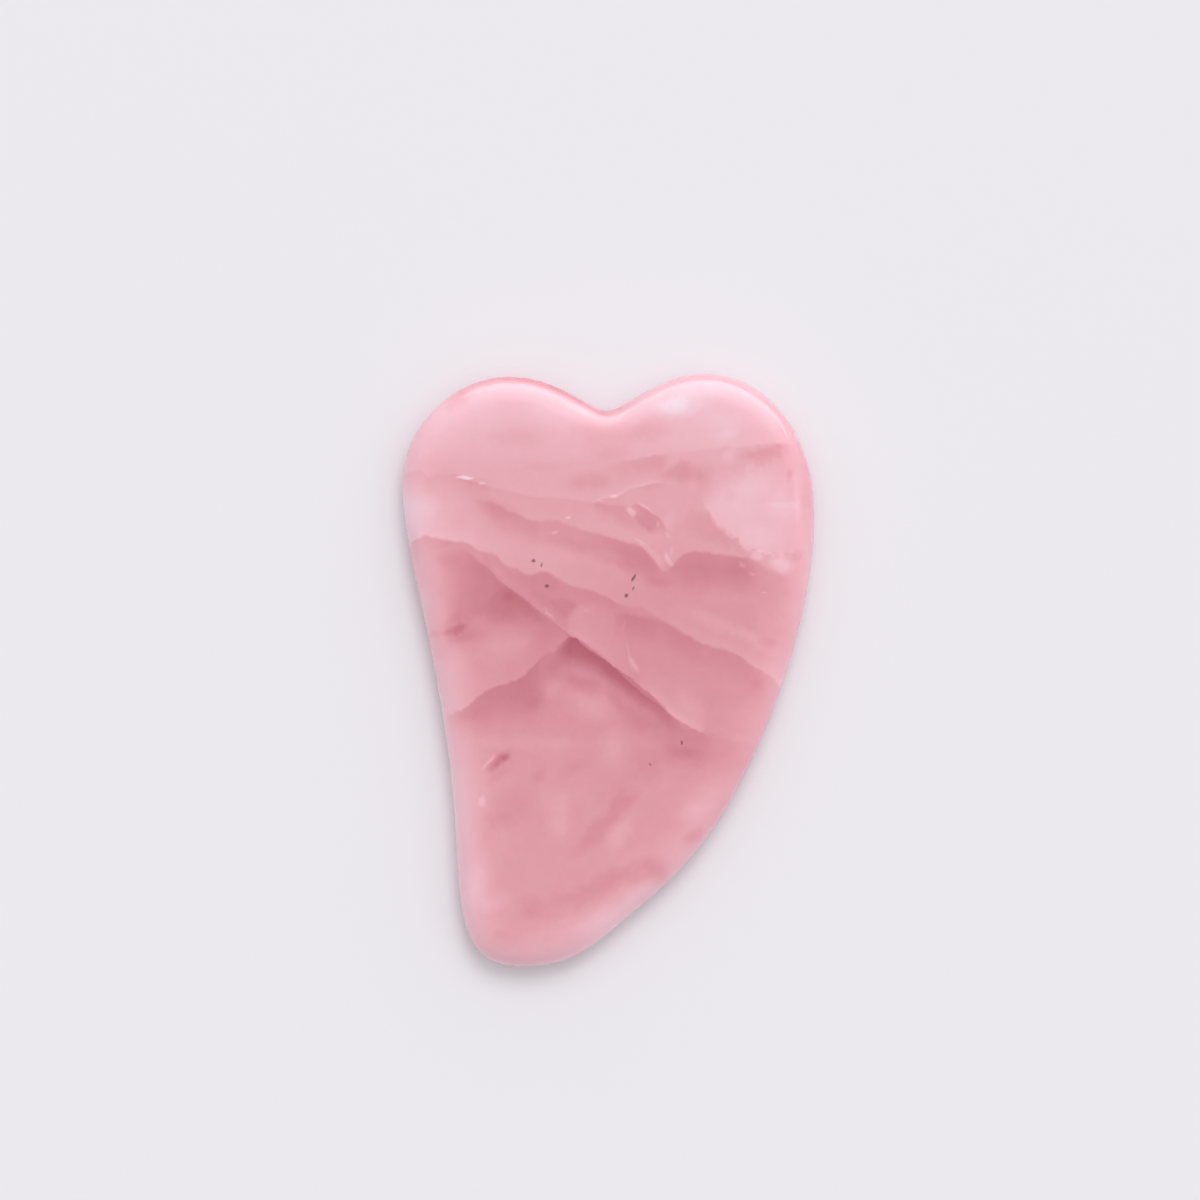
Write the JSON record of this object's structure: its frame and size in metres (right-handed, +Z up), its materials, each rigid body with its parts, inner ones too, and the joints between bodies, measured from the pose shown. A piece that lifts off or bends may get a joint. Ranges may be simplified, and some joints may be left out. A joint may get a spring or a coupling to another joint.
{
  "type": "gua sha scraper",
  "caption": "Flat polished rose quartz massage scraper, heart shaped with a finger notch between its lobes and a long tapering tail, with a rolled rim all round.",
  "frame": {"origin": "bottom centre of the bounding box, on the flat face that the stone lies on", "axes": "+Y to the two lobes and -Y to the tail, +Z up out of the upper flat face, +X to the right seen from above, on the side of the long rounded flank"},
  "size_m": [0.0556, 0.08, 0.005],
  "materials": {
    "rose_quartz": "polished, cloudy and faintly translucent, with pale healed fractures"
  },
  "bodies": {
    "root": {"scraper_stone": "rose_quartz"}
  },
  "joints": []
}
